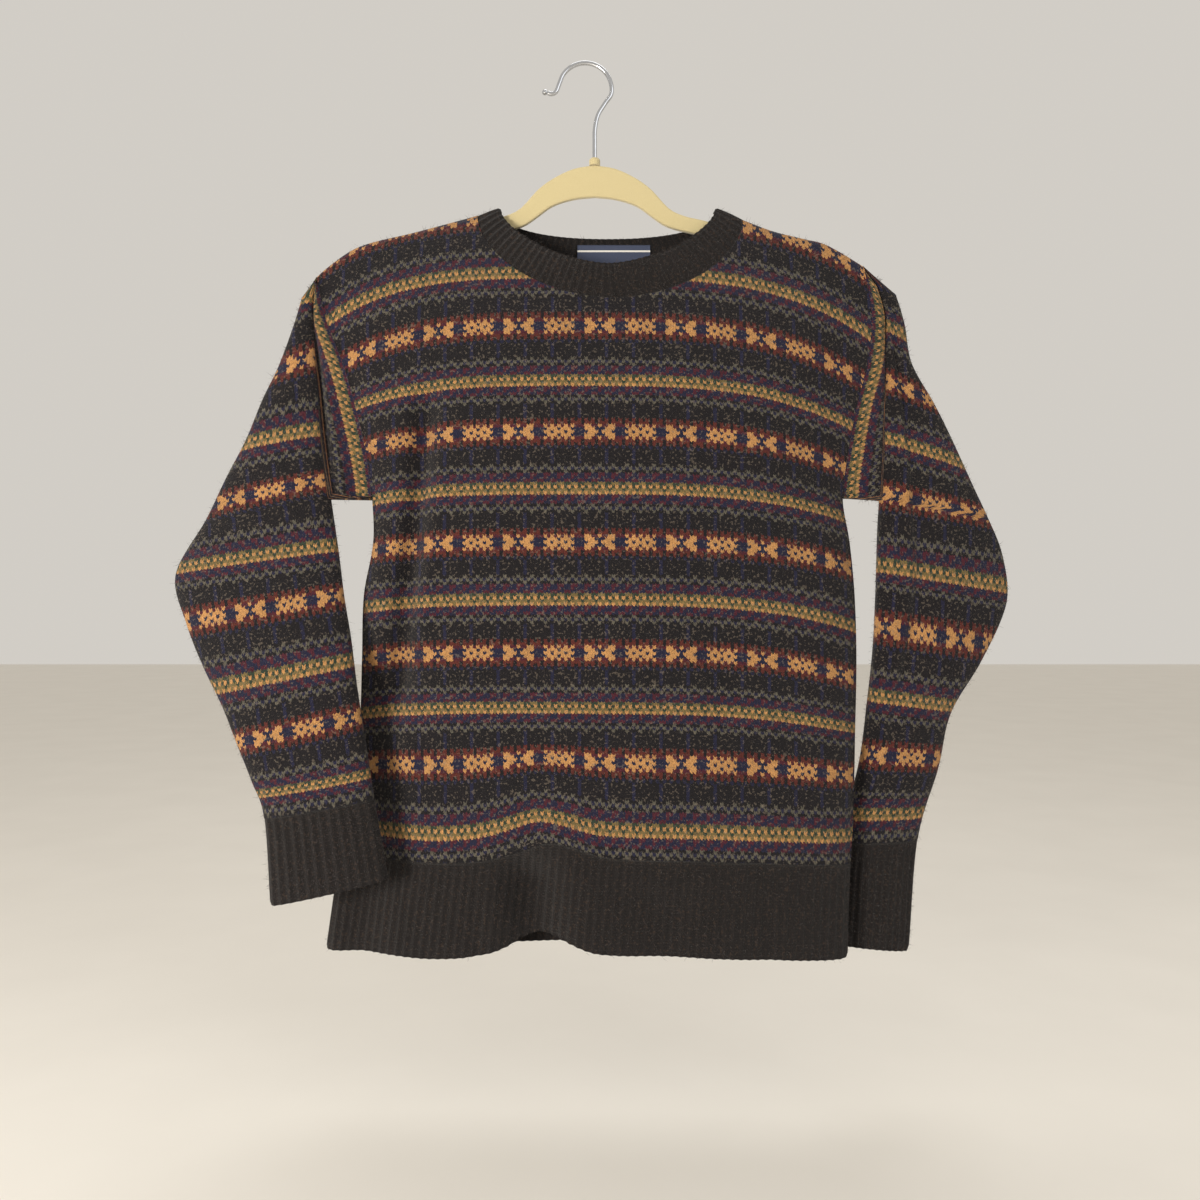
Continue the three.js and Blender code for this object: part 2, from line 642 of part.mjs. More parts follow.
function hangerOutline() {
  const edge = (column) => {
    const points = [];
    const reach = hangerShoulder[hangerShoulder.length - 1].out;
    for (let i = 0; i <= hangerSteps; i += 1) {
      const out = (reach * i) / hangerSteps;
      points.push(new THREE.Vector2(out, -read(hangerShoulder, "out", out, column)));
    }
    return points;
  };
  const top = edge("top");
  const bottom = edge("bottom");
  const start = top[top.length - 1];
  const run = hanger.halfSpan - hanger.edgeRound - start.x;
  const tipRadius = hanger.armHeight / 2;
  const tip = new THREE.Vector2(start.x + run - tipRadius, start.y - (run - tipRadius) * hanger.armSlope - tipRadius);
  const tipArc = [];
  for (let i = 0; i <= 6; i += 1) {
    const angle = Math.PI / 2 - (Math.PI * i) / 6;
    tipArc.push(new THREE.Vector2(tip.x + tipRadius * Math.cos(angle), tip.y + tipRadius * Math.sin(angle)));
  }
  const right = [...top, ...tipArc, ...bottom.reverse()];
  const left = right.slice(1, -1).map((p) => new THREE.Vector2(-p.x, p.y));
  return [...right, ...left.reverse()];
}

function hangerGeometry() {
  const round = hanger.edgeRound;
  const shape = new THREE.Shape(hangerOutline());
  const geometry = new THREE.ExtrudeGeometry(shape, {
    depth: hanger.thickness - 2 * round,
    bevelEnabled: true,
    bevelThickness: round,
    bevelSize: round,
    bevelOffset: -round,
    bevelSegments: 2,
    steps: 1,
  });
  geometry.translate(0, 0, -(hanger.thickness / 2 - round));
  geometry.rotateX(Math.PI / 2);
  geometry.translate(hanger.centreX, 0, 0);
  return geometry;
}

// The wire: a straight shank, a swan neck to the right, the round bow and a lip turned out.
function hookGeometry() {
  const bowDrop = hook.bowRadius - hook.wireRadius;
  const shankBottom = collar.topDrop - seamGap;
  const shank = [
    { x: hanger.centreX, drop: shankBottom },
    { x: hanger.centreX, drop: 74 },
    { x: hanger.centreX + 0.2, drop: 61 },
    { x: hanger.centreX + 3, drop: 47.5 },
    { x: hanger.centreX + 9.5, drop: 36.5 },
  ];
  const lip = [
    { x: -27.6, drop: 25.2 },
    { x: -31.5, drop: 27 },
    { x: -35, drop: 26.2 },
  ];
  const wire = shank.map((row) => new THREE.Vector3(row.x, 0, -row.drop));
  for (let angle = -10; angle <= 168; angle += 178 / 8) {
    const turn = THREE.MathUtils.degToRad(angle);
    wire.push(new THREE.Vector3(hook.bowRadius * Math.cos(turn), 0, hook.bowRadius * Math.sin(turn) - bowDrop));
  }
  lip.forEach((row) => wire.push(new THREE.Vector3(row.x, 0, -row.drop)));
  const section = new THREE.Shape();
  section.absarc(0, 0, hook.wireRadius, 0, 2 * Math.PI, false);
  return new THREE.ExtrudeGeometry(section, {
    curveSegments: hook.sides,
    steps: hook.steps,
    bevelEnabled: false,
    extrudePath: new THREE.CatmullRomCurve3(wire, false, "centripetal"),
  });
}

function tipGeometry() {
  const geometry = new THREE.SphereGeometry(hook.tipRadius, 12, 8);
  geometry.translate(-35 - hook.tipRadius - seamGap, 0, -25.6);
  return geometry;
}

function collarGeometry() {
  const top = -collar.topDrop;
  const profile = [
    [0, top - collar.height],
    [collar.radius, top - collar.height],
    [collar.radius, top - 1.5],
    [collar.rimRadius, top],
    [0, top],
  ].map(([radius, height]) => new THREE.Vector2(radius, height));
  const geometry = new THREE.LatheGeometry(profile, 16);
  geometry.rotateX(Math.PI / 2);
  geometry.translate(hanger.centreX, 0, 0);
  return geometry;
}

// ---- the whole ----

function addMesh(group, name, geometry, colour, roughness, metalness = 0) {
  const material = new THREE.MeshStandardMaterial({ color: colour, roughness, metalness });
  const mesh = new THREE.Mesh(geometry, material);
  mesh.name = name;
  group.add(mesh);
}

const sweater = new THREE.Group();
const holder = new THREE.Group();

const front = panelSurface(frontPanel);
const back = panelSurface(backPanel);
const left = sleeveSurface(leftSleeve, front, back);
const right = sleeveSurface(rightSleeve, front, back);
const clothRoughness = 0.95;

const lastRow = (surface) => surface.points.length - 1;
const addCloth = (name, surface, first, last, colour) =>
  addMesh(sweater, name, clothWall(cutRows(surface, first, last)), colour, clothRoughness);

addCloth("front", front, 0, front.ribRow, colours.body);
addCloth("back", back, 0, back.ribRow, colours.body);
addCloth("front_hem", front, front.ribRow, lastRow(front), colours.rib);
addCloth("back_hem", back, back.ribRow, lastRow(back), colours.rib);
addCloth("left_sleeve", left, 0, left.cuffRow, colours.body);
addCloth("right_sleeve", right, 0, right.cuffRow, colours.body);
addCloth("left_cuff", left, left.cuffRow, lastRow(left), colours.rib);
addCloth("right_cuff", right, right.cuffRow, lastRow(right), colours.rib);

addMesh(sweater, "neckband", clothWall(neckbandSurface(front, back)), colours.rib, clothRoughness);
addMesh(sweater, "neck_label", clothWall(labelSurface(), neckLabel.thickness), colours.label, 0.8);

addMesh(holder, "hanger", hangerGeometry(), colours.hanger, 0.9);
addMesh(holder, "hanger_collar", collarGeometry(), colours.hanger, 0.6);
addMesh(holder, "hanger_hook", hookGeometry(), colours.wire, 0.2, 1);
addMesh(holder, "hook_tip", tipGeometry(), colours.wire, 0.2, 1);

const part = new THREE.Group();
part.add(sweater, holder);

export default part;
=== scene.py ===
import math

import bmesh
import bpy
import numpy as np
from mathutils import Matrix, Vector


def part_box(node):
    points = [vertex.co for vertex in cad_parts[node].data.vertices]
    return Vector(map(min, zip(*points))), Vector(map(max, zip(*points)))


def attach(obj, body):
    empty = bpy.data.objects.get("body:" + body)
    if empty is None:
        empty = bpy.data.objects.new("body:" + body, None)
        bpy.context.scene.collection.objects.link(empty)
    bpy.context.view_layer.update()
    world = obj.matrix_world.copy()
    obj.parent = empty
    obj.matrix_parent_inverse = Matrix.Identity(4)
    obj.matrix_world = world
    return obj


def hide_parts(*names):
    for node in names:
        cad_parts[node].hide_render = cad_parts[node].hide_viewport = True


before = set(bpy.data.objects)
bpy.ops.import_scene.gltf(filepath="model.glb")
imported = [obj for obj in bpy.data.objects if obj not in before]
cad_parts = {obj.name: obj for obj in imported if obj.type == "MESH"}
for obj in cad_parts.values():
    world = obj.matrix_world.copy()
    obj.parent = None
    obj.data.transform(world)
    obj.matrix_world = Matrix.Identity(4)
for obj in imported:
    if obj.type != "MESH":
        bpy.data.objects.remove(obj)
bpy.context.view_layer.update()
mm = 0.001

# sizes shared by the cloth pieces

shoulderLine = [
    (-252, 200), (-242, 191), (-221, 176), (-203, 168.5), (-161, 158.5), (-101, 142.5),
    (148, 146.5), (176, 157), (206, 164.5), (223, 168.5), (240, 177), (261, 190),
]
neckLeft, neckRight, underarmDrop, ribHeight = -101, 148, 409, 88
capHeight, drapeFall, foldFade = 7, 45, 45

# drop: left, right, left seam y, right seam y, gape, front bow, back bow, boxiness
bodyDrops = np.array([190, 240, 285, 320, 365, 409, 450, 500, 560, 630, 700, 770, 840], float)
bodyLevels = {
    "left": [-254, -243, -226, -216, -206, -201, -200, -209, -211, -214, -225, -236, -246],
    "right": [261, 268, 264, 255, 247, 243, 249, 253, 254, 252, 250, 246, 244],
    "leftY": [0, 0, 0, 0, 0, 0, 0, 1, 2, 3, 4, 4, 4],
    "rightY": [0, 0, 0, 0, 0, 0, -2, -5, -8, -11, -13, -14, -14],
    "gape": [7.3, 8.5, 8.5, 7.5, 5] + [0.15] * 8,
    "front": [30, 38, 42, 43, 43, 44, 44, 43, 41, 38, 36, 36, 36],
    "back": [9, 10, 11, 12, 12, 13, 14, 15, 16, 17, 18, 18, 18],
    "boxy": [1.05, 1.05, 1.1, 1.15, 1.3, 1.5, 1.8, 1.9, 2, 2, 2, 2, 2],
}
# troughs: top x, top drop, end x, end drop, width, depth
frontFolds = [
    (-146, 322, -175, 600, 11, 19), (-196, 560, -212, 860, 26, 11), (-52, 745, -40, 870, 25, 25),
    (232, 275, 222, 400, 13, 4), (62, 770, 74, 870, 30, 5), (-132, 380, -150, 540, 9, -3),
    (190, 300, 215, 420, 16, 2.5), (-60, 470, -30, 640, 34, 1.8), (120, 520, 150, 720, 40, 2.2),
    (-100, 770, -96, 870, 10, 2.5), (160, 740, 170, 860, 14, 2),
]
backFolds = [
    (-120, 360, -150, 640, 20, 7), (130, 330, 165, 600, 20, 6), (30, 690, 22, 870, 26, 8),
    (60, 260, 40, 430, 26, 2.5), (-60, 500, -80, 700, 24, 3),
]
frontHem = [(-246, 834), (-180, 832), (-138, 833), (-100, 830), (-72, 823), (-43, 813),
            (-20, 817), (14, 826), (105, 829), (180, 832), (244, 836)]
backHem = [(-246, 834), (-90, 831), (26, 827), (130, 831), (244, 836)]
frontPanel = {"facing": -1, "neckDepth": 84, "roundness": 1.85, "folds": frontFolds, "hem": frontHem}
backPanel = {"facing": 1, "neckDepth": 43, "roundness": 2.2, "folds": backFolds, "hem": backHem}

# sleeve stations: outer x, outer drop, inner x, inner drop, middle y, half depth, groove, lap
leftStations = np.array([
    (-266, 218, -254, 216, 0, 8, -7, 0), (-274, 246, -255, 239, -1, 9, -6, 0),
    (-288, 285, -253, 270, -2, 11, -1, 0), (-303, 317, -250, 303, -3, 13, 0, 0),
    (-318, 355, -247, 341, -5, 14, -1, 0), (-336, 392, -243, 374, -8, 15, -4, 0),
    (-353, 430, -238, 404, -11, 16, -7, 0), (-378, 481, -228, 460, -19, 18, 0, 0),
    (-365, 526, -221, 501, -27, 19, 0, 0), (-347, 565, -213, 540, -34, 19, 0, 0),
    (-327, 602, -207, 577, -40, 18, 0, 0), (-313, 633, -201, 609, -45, 17, 0, 0),
    (-298, 667, -194, 647, -49, 16, 0, 0), (-286, 699, -188, 682, -52, 15, 0, 0),
    (-280, 777, -175, 753, -54, 14, 0, 0)], float)
rightStations = np.array([
    (292, 215, 274, 210, 0, 8, -7, 0), (301, 245, 281, 236, 0, 9, -7, 1),
    (308, 282, 282, 268, 0, 11, -6, 3), (330, 320, 282, 300, 1, 13, -6, 5),
    (347, 354, 281, 334, 1, 14, -6, 6), (366, 396, 280, 370, 1, 15, -7, 6),
    (380, 426, 278, 406, 1, 16, -8, 7), (393, 458, 276, 440, 1, 17, 0, 7),
    (399, 495, 275, 475, 1, 17, 0, 7), (393, 523, 274, 505, 1, 17, 0, 7),
    (373, 565, 272, 550, 2, 17, 0, 6), (346, 612, 267, 602, 4, 16, 0, 4),
    (335, 664, 260, 660, 7, 15, 0, 2), (317, 732, 243, 735, 12, 13, 0, 0),
    (309, 839, 236, 832, 14, 13, 0, 0)], float)

# knit gauge, and which row of the pattern lies at which drop or station
gauge = {"stitch": 3.07, "row": 2.8, "repeatRows": 36, "repeatStitches": 24}
bodyRows = [(146, 2), (256, 38.5), (353, 74.5), (453, 110.5), (553, 146.5), (651, 182.5), (735, 209)]
archDrops = [(150, 34, 48), (256, 34, 48), (353, 18, 38), (453, 11, 26), (553, 12, 28), (651, 14, 22)]
leftRows = [(0, 19), (1, 28), (2.25, 38.5), (5.7, 74.5), (8, 110.5), (11, 146.5), (13, 173)]
rightRows = [(0, 6), (1, 17), (2, 28), (3, 38.5), (6, 74.5), (9.6, 110.5), (11.85, 146.5), (13, 173)]
seamRow = 17.5


# small helpers

def smoothStep(value):
    t = np.clip(value, 0, 1)
    return t * t * (3 - 2 * t)


def curveThrough(places, values, at):
    places, values = np.asarray(places, float), np.asarray(values, float)
    at = np.clip(np.asarray(at, float), places[0], places[-1])
    slopes = np.gradient(values, places)
    n = len(places)
    for i in range(n):
        before, after = max(i - 1, 0), min(i + 1, n - 1)
        slopes[i] = (values[after] - values[before]) / (places[after] - places[before])
    i = np.clip(np.searchsorted(places, at, side="right") - 1, 0, n - 2)
    span = places[i + 1] - places[i]
    t = (at - places[i]) / span
    bend = t * t * (3 - 2 * t)
    straight = values[i] + (values[i + 1] - values[i]) * bend
    return straight + span * t * (1 - t) * ((1 - t) * slopes[i] - t * slopes[i + 1])


def tableAt(table, at, column=1):
    rows = np.array(table, float)
    return curveThrough(rows[:, 0], rows[:, column], at)


def lengthAlong(points):
    return np.concatenate([[0], np.cumsum(np.linalg.norm(np.diff(points, axis=0), axis=-1))])


def levelAt(name, drop):
    return curveThrough(bodyDrops, bodyLevels[name], drop)


def ridgeDrop(x):
    rows = np.array(shoulderLine, float)
    left, right = rows[rows[:, 0] <= neckLeft], rows[rows[:, 0] >= neckRight]
    leftDrop = curveThrough(left[:, 0], left[:, 1], x)
    rightDrop = curveThrough(right[:, 0], right[:, 1], x)
    share = np.clip((x - neckLeft) / (neckRight - neckLeft), 0, 1)
    return leftDrop * (1 - share) + rightDrop * share


def scoopTurn(turn, roundness):
    angle = math.radians(turn)
    side = math.copysign(1, math.cos(angle))
    across = side * abs(math.cos(angle)) ** (2 / roundness)
    return (1 - across) / 2, max(math.sin(angle), 0) ** (2 / roundness)


def roundOver(below):
    return np.sqrt(1 - (1 - np.clip(below / capHeight, 0, 1)) ** 2)


def foldDepth(folds, x, drop):
    depth = np.zeros_like(x)
    for topX, topDrop, endX, endDrop, width, deep in folds:
        share = np.clip((drop - topDrop) / (endDrop - topDrop), 0, 1)
        away = (x - (topX + (endX - topX) * share)) / width
        begin = smoothStep((drop - topDrop) / foldFade + 0.5)
        end = smoothStep((endDrop - drop) / foldFade + 0.5)
        depth += deep * np.exp(-away * away) * begin * end
    return depth


def panelPoints(panel, across, drop):
    x = levelAt("left", drop) * (1 - across) + levelAt("right", drop) * across
    below = np.maximum(drop - ridgeDrop(x), 0)
    gape = levelAt("gape", drop)
    bow = levelAt("front" if panel["facing"] < 0 else "back", drop) - gape
    arch = np.clip(1 - np.abs(2 * across - 1) ** 3, 0, 1) ** (1 / levelAt("boxy", drop))
    swing = 1 - np.exp(-below / drapeFall)
    fold = foldDepth(panel["folds"], x, drop) * np.minimum(1, arch * 1.6)
    stand = np.maximum(gape * roundOver(below), 0.1) + bow * arch * swing - fold
    y = levelAt("leftY", drop) * (1 - across) + levelAt("rightY", drop) * across
    return np.stack([x, y + panel["facing"] * stand, -drop], axis=-1)


def gridNormals(points, flip, ring=False):
    padded = points
    if ring:
        padded = np.concatenate([points[:, -2:-1], points, points[:, 1:2]], axis=1)
    acrossWay = np.gradient(padded, axis=1)
    downWay = np.gradient(padded, axis=0)
    if ring:
        acrossWay, downWay = acrossWay[:, 1:-1], downWay[:, 1:-1]
    normals = np.cross(downWay, acrossWay) * (-1 if flip else 1)
    length = np.linalg.norm(normals, axis=-1, keepdims=True)
    return normals / np.maximum(length, 1e-9)


# a closed shell from a grid of outer points; uv is in stitches across and rows down
def clothShell(name, points, uv, flip=False, ring=False, thickness=2.4, relief=None, closedFrom=None):
    normals = gridNormals(points, flip, ring)
    if closedFrom is not None:
        normals[closedFrom:] = gridNormals(points[closedFrom:], flip, True)
    if relief is not None:
        points = points + normals * relief[..., None]
    rows, columns = points.shape[:2]
    inner = points - normals * thickness
    verts = np.concatenate([points.reshape(-1, 3), inner.reshape(-1, 3)]) * mm
    grid = np.arange(rows * columns).reshape(rows, columns)
    half = rows * columns
    a, b, c, d = grid[:-1, :-1], grid[1:, :-1], grid[1:, 1:], grid[:-1, 1:]
    quads = np.stack([a, b, c, d], -1).reshape(-1, 4)
    faces = [quads, quads[:, ::-1] + half]
    for line, turned in ((grid[0], True), (grid[-1], False), (grid[:, 0], False), (grid[:, -1], True)):
        if ring and line.shape[0] == rows and line is not grid[0] and line is not grid[-1]:
            continue
        start, end = line[:-1], line[1:]
        rim = np.stack([start, end, end + half, start + half], -1)
        faces.append(rim[:, ::-1] if turned else rim)
    allFaces = np.concatenate(faces)
    if flip:
        allFaces = allFaces[:, ::-1]
    mesh = bpy.data.meshes.new(name)
    mesh.from_pydata(verts.tolist(), [], allFaces.tolist())
    uvFlat = np.concatenate([uv.reshape(-1, 2), uv.reshape(-1, 2)])
    layer = mesh.uv_layers.new(name="knit")
    loopVerts = np.zeros(len(mesh.loops), dtype=np.int32)
    mesh.loops.foreach_get("vertex_index", loopVerts)
    layer.data.foreach_set("uv", uvFlat[loopVerts].astype(np.float32).ravel())
    if ring or closedFrom is not None:
        bm = bmesh.new()
        bm.from_mesh(mesh)
        bmesh.ops.remove_doubles(bm, verts=bm.verts, dist=0.00002)
        bm.to_mesh(mesh)
        bm.free()
    mesh.validate()
    mesh.shade_smooth()
    piece = bpy.data.objects.new(name, mesh)
    bpy.context.collection.objects.link(piece)
    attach(piece, "root")
    return piece


# materials

def srgb(red, green, blue):
    def linear(value):
        value /= 255
        return value / 12.92 if value <= 0.04045 else ((value + 0.055) / 1.055) ** 2.4
    return (linear(red), linear(green), linear(blue), 1)


yarn = {
    "black": srgb(22, 19, 21), "navy": srgb(28, 28, 48), "maroon": srgb(66, 26, 36),
    "rust": srgb(78, 34, 28), "gold": srgb(168, 122, 74), "olive": srgb(78, 74, 64),
    "green": srgb(42, 52, 40), "straw": srgb(104, 88, 54),
}
motifA = ["GG..G..GG...", "GGG...GGG...", ".GGG.GGG....", "GGG...GGG...", "GG..G..GG..."]
motifB = ["G.G.G.G.G...", ".GGG.GGG....", "GG.GGG.GG...", ".GGG.GGG....", "G.G.G.G.G..."]
# each row of the repeat: ground, motif yarn and stitches; short charts repeat along the row
zigzag = ["X...X...", ".X.X.X.X", "..X...X."]
chart = [("maroon" if i in (0, 4) else "navy", "gold", first + second)
         for i, (first, second) in enumerate(zip(motifA, motifB))]
chart += [("rust", "black", "...X"), ("rust", "black", ".X"), ("navy", "black", "X.")]
chart += [("black", "navy", "......X.")] * 5
chart += [("black", "olive", zigzag[0]), ("navy", "olive", zigzag[1]), ("black", "olive", zigzag[2])]
chart += [("maroon", "navy", "..XX"), ("navy", "maroon", "X..."), ("maroon", "navy", "XX..")]
chart += [("green", "straw", "XX.."), ("green", "gold", ".X.X")]
chart += [("straw", "green", "...X"), ("straw", "gold", "X.X.")]
chart += [("maroon", "navy", "..XX"), ("navy", "maroon", "X..."), ("maroon", "navy", "XX..")]
chart += [("black", "olive", zigzag[2]), ("navy", "olive", zigzag[1]), ("black", "olive", zigzag[0])]
chart += [("black", "navy", "......X.")] * 5
chart += [("rust", "black", ".X"), ("rust", "black", "...X")]


class Wiring:
    def __init__(self, tree):
        self.tree = tree

    def node(self, kind, **values):
        made = self.tree.nodes.new(kind)
        for name, value in values.items():
            setattr(made, name, value)
        return made

    def link(self, source, target):
        self.tree.links.new(source, target)

    def math(self, operation, *inputs):
        made = self.node("ShaderNodeMath", operation=operation)
        for i, value in enumerate(inputs):
            if isinstance(value, (int, float)):
                made.inputs[i].default_value = value
            else:
                self.link(value, made.inputs[i])
        return made.outputs[0]

    def mixColour(self, factor, first, second, blend="MIX"):
        made = self.node("ShaderNodeMix", data_type="RGBA", blend_type=blend)
        for socket, value in ((made.inputs[0], factor), (made.inputs[6], first), (made.inputs[7], second)):
            if isinstance(value, (int, float, tuple)):
                socket.default_value = value
            else:
                self.link(value, socket)
        return made.outputs[2]

    def steps(self, place, colours):
        ramp = self.node("ShaderNodeValToRGB")
        ramp.color_ramp.interpolation = "CONSTANT"
        elements = ramp.color_ramp.elements
        elements[0].color = colours[0]
        used = 1
        for i in range(1, len(colours)):
            if colours[i] == colours[i - 1]:
                continue
            element = elements[1] if used == 1 else elements.new(0.999)
            element.position = i / len(colours)
            element.color = colours[i]
            used += 1
        if used == 1:
            elements[1].color = colours[0]
        self.link(place, ramp.inputs[0])
        return ramp.outputs[0]


def addSocket(tree, name, kind, isInput=False):
    tree.interface.new_socket(name, in_out="INPUT" if isInput else "OUTPUT", socket_type=kind)


# stitch places: v-shaped stitches, two slanting legs each
def makeStitchGroup():
    tree = bpy.data.node_groups.new("stitches", "ShaderNodeTree")
    for name in ("Column", "Row", "Height"):
        addSocket(tree, name, "NodeSocketFloat")
    w = Wiring(tree)
    uv = w.node("ShaderNodeUVMap", uv_map="knit")
    wobble = w.node("ShaderNodeTexNoise")
    wobble.inputs["Scale"].default_value = 1.7
    w.link(uv.outputs[0], wobble.inputs["Vector"])
    parts = w.node("ShaderNodeSeparateXYZ")
    w.link(uv.outputs[0], parts.inputs[0])
    drift = w.math("MULTIPLY", w.math("SUBTRACT", wobble.outputs[0], 0.5), 0.9)
    u = w.math("ADD", parts.outputs[0], drift)
    across = w.math("FRACT", u)
    leg = w.math("ABSOLUTE", w.math("SUBTRACT", across, 0.5))
    v = w.math("ADD", w.math("ADD", parts.outputs[1], drift), w.math("MULTIPLY", leg, 1.1))
    legRound = w.math("SINE", w.math("MULTIPLY", leg, 2 * math.pi))
    rowRound = w.math("SINE", w.math("MULTIPLY", w.math("FRACT", v), math.pi))
    out = w.node("NodeGroupOutput")
    w.link(w.math("FLOOR", u), out.inputs[0])
    w.link(w.math("FLOOR", v), out.inputs[1])
    w.link(w.math("MULTIPLY", legRound, rowRound), out.inputs[2])
    return tree


def makePatternGroup(stitches):
    tree = bpy.data.node_groups.new("bandedPattern", "ShaderNodeTree")
    addSocket(tree, "Color", "NodeSocketColor")
    addSocket(tree, "Height", "NodeSocketFloat")
    w = Wiring(tree)
    stitch = w.node("ShaderNodeGroup", node_tree=stitches)
    count = gauge["repeatRows"]
    row = w.math("FLOORED_MODULO", stitch.outputs[1], count)
    column = w.math("FLOORED_MODULO", stitch.outputs[0], gauge["repeatStitches"])
    columnPlace = w.math("DIVIDE", w.math("ADD", column, 0.5), gauge["repeatStitches"])
    white, black = (1, 1, 1, 1), (0, 0, 0, 1)
    masks = {}
    total = None
    for i, (ground, motif, stitchesOn) in enumerate(chart):
        full = (stitchesOn * gauge["repeatStitches"])[: gauge["repeatStitches"]]
        if full not in masks:
            masks[full] = w.steps(columnPlace, [black if s == "." else white for s in full])
        here = w.math("COMPARE", row, i, 0.4)
        part = w.math("MULTIPLY", masks[full], here)
        total = part if total is None else w.math("ADD", total, part)
    halfCount = count // 2
    place = w.math("DIVIDE", w.math("ADD", w.math("FLOORED_MODULO", row, halfCount), 0.5), halfCount)
    lower = w.math("GREATER_THAN", row, halfCount - 0.5)
    grounds = [yarn[ground] for ground, _, _ in chart]
    motifs = [yarn[motif] for _, motif, _ in chart]

    def yarnByRow(colours):
        return w.mixColour(lower, w.steps(place, colours[:halfCount]), w.steps(place, colours[halfCount:]))

    groundColour, motifColour = yarnByRow(grounds), yarnByRow(motifs)
    colour = w.mixColour(total, groundColour, motifColour)
    out = w.node("NodeGroupOutput")
    w.link(colour, out.inputs[0])
    w.link(stitch.outputs[2], out.inputs[1])
    return tree


# heather: flecks of other fibre, uneven darker tone and a fuzz height for the bump, over any yarn colour
def makeHeatherGroup():
    tree = bpy.data.node_groups.new("heather", "ShaderNodeTree")
    addSocket(tree, "Color", "NodeSocketColor", True)
    addSocket(tree, "Fleck", "NodeSocketColor", True)
    addSocket(tree, "Color", "NodeSocketColor")
    addSocket(tree, "Fuzz", "NodeSocketFloat")
    w = Wiring(tree)
    source = w.node("NodeGroupInput")
    place = w.node("ShaderNodeTexCoord").outputs["Object"]

    def noise(scale, detail):
        made = w.node("ShaderNodeTexNoise")
        made.inputs["Scale"].default_value = scale
        made.inputs["Detail"].default_value = detail
        w.link(place, made.inputs["Vector"])
        return made.outputs[0]

    fine, broad, hair = noise(900, 3), noise(60, 2), noise(420, 5)
    shade = w.math("ADD", w.math("MULTIPLY", fine, 1.5), w.math("MULTIPLY", broad, 0.5))
    dark = w.math("MULTIPLY", shade, 0.95)
    grey = w.node("ShaderNodeCombineColor")
    for i in range(3):
        w.link(dark, grey.inputs[i])
    shaded = w.mixColour(1.0, source.outputs[0], grey.outputs[0], "MULTIPLY")
    fleckMask = w.math("MULTIPLY", w.math("GREATER_THAN", hair, 0.6), 0.3)
    colour = w.mixColour(fleckMask, shaded, source.outputs[1])
    out = w.node("NodeGroupOutput")
    w.link(colour, out.inputs[0])
    w.link(w.math("ADD", w.math("MULTIPLY", hair, 0.7), w.math("MULTIPLY", fine, 0.5)), out.inputs[1])
    return tree


stitches = makeStitchGroup()
pattern = makePatternGroup(stitches)
heather = makeHeatherGroup()


def knitMaterial(name, patterned, ground=None, fleck=(0.2, 0.16, 0.12, 1), bump=0.5):
    material = bpy.data.materials.new(name)
    material.use_nodes = True
    w = Wiring(material.node_tree)
    shader = material.node_tree.nodes["Principled BSDF"]
    shader.inputs["Roughness"].default_value = 0.95
    shader.inputs["Specular IOR Level"].default_value = 0.15
    shader.inputs["Sheen Weight"].default_value = 0.07
    shader.inputs["Sheen Roughness"].default_value = 0.6
    mixer = w.node("ShaderNodeGroup", node_tree=heather)
    mixer.inputs[1].default_value = fleck
    source = w.node("ShaderNodeGroup", node_tree=pattern if patterned else stitches)
    if patterned:
        w.link(source.outputs[0], mixer.inputs[0])
        height = source.outputs[1]
    else:
        mixer.inputs[0].default_value = ground
        height = source.outputs[2]
    w.link(mixer.outputs[0], shader.inputs["Base Color"])
    total = w.math("ADD", w.math("MULTIPLY", height, 0.8), mixer.outputs[1])
    made = w.node("ShaderNodeBump")
    made.inputs["Strength"].default_value = bump
    made.inputs["Distance"].default_value = 0.0015
    w.link(total, made.inputs["Height"])
    w.link(made.outputs[0], shader.inputs["Normal"])
    return material


bandedKnit = knitMaterial("bandedKnit", True)
darkRib = knitMaterial("darkRib", False, srgb(27, 23, 22), srgb(74, 58, 46), bump=0.6)


def plainMaterial(name, colour, other, scale, roughness, bump, metallic=0.0, sheen=0.0):
    material = bpy.data.materials.new(name)
    material.use_nodes = True
    w = Wiring(material.node_tree)
    shader = material.node_tree.nodes["Principled BSDF"]
    shader.inputs["Metallic"].default_value = metallic
    shader.inputs["Sheen Weight"].default_value = sheen
    place = w.node("ShaderNodeTexCoord").outputs["Object"]
    grain = w.node("ShaderNodeTexNoise")
    grain.inputs["Scale"].default_value = scale
    grain.inputs["Detail"].default_value = 4
    w.link(place, grain.inputs["Vector"])
    w.link(w.mixColour(grain.outputs[0], colour, other), shader.inputs["Base Color"])
    rough = w.math("ADD", w.math("MULTIPLY", grain.outputs[0], 0.15), roughness)
    w.link(rough, shader.inputs["Roughness"])
    made = w.node("ShaderNodeBump")
    made.inputs["Strength"].default_value = bump
    made.inputs["Distance"].default_value = 0.0004
    w.link(grain.outputs[0], made.inputs["Height"])
    w.link(made.outputs[0], shader.inputs["Normal"])
    return material


flock = plainMaterial("beigeFlock", srgb(198, 184, 140), srgb(178, 162, 118), 1600, 0.8, 0.5, sheen=0.4)
chrome = plainMaterial("platedWire", srgb(214, 216, 220), srgb(180, 182, 186), 90, 0.08, 0.02, metallic=1.0)
navyTape = plainMaterial("navyTape", srgb(66, 74, 96), srgb(44, 50, 70), 2200, 0.75, 0.4)
whiteThread = plainMaterial("whiteThread", srgb(226, 222, 214), srgb(196, 192, 184), 2500, 0.8, 0.4)
print("materials made")


# front and back

